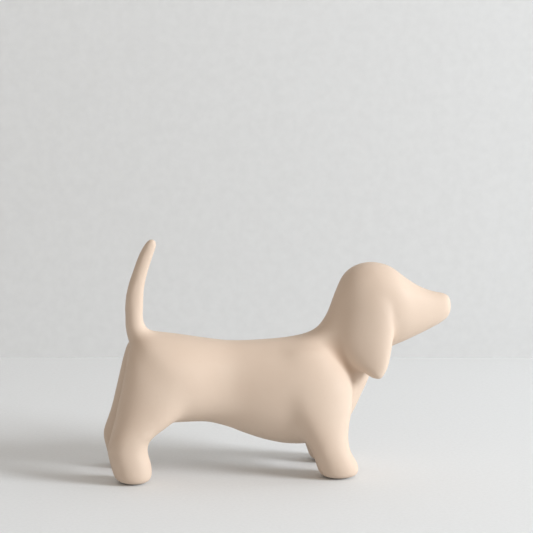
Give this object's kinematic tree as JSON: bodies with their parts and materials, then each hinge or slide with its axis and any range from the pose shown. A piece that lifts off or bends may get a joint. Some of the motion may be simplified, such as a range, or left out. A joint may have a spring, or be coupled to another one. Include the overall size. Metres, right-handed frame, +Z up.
{
  "type": "ceramic dog figurine",
  "caption": "Smooth long-bodied dog figurine with short legs, hanging ears and upright tail, slip-cast in matt ceramic to stand on a shelf.",
  "frame": {"origin": "middle of the length and width, on the surface that the dog stands on", "axes": "+X towards the nose, +Y to the dog's left, +Z up"},
  "size_m": [0.2024, 0.064, 0.1383],
  "materials": {
    "bisque": "matt, fine smooth pale peach body",
    "felt": "thin pressed felt"
  },
  "bodies": {
    "root": {"torso": "bisque", "head": "bisque", "ear_left": "bisque", "ear_right": "bisque", "tail": "bisque", "leg_front_left": "bisque", "leg_front_right": "bisque", "leg_rear_left": "bisque", "leg_rear_right": "bisque", "pad_front_left": "felt", "pad_front_right": "felt", "pad_rear_left": "felt", "pad_rear_right": "felt"}
  },
  "joints": []
}
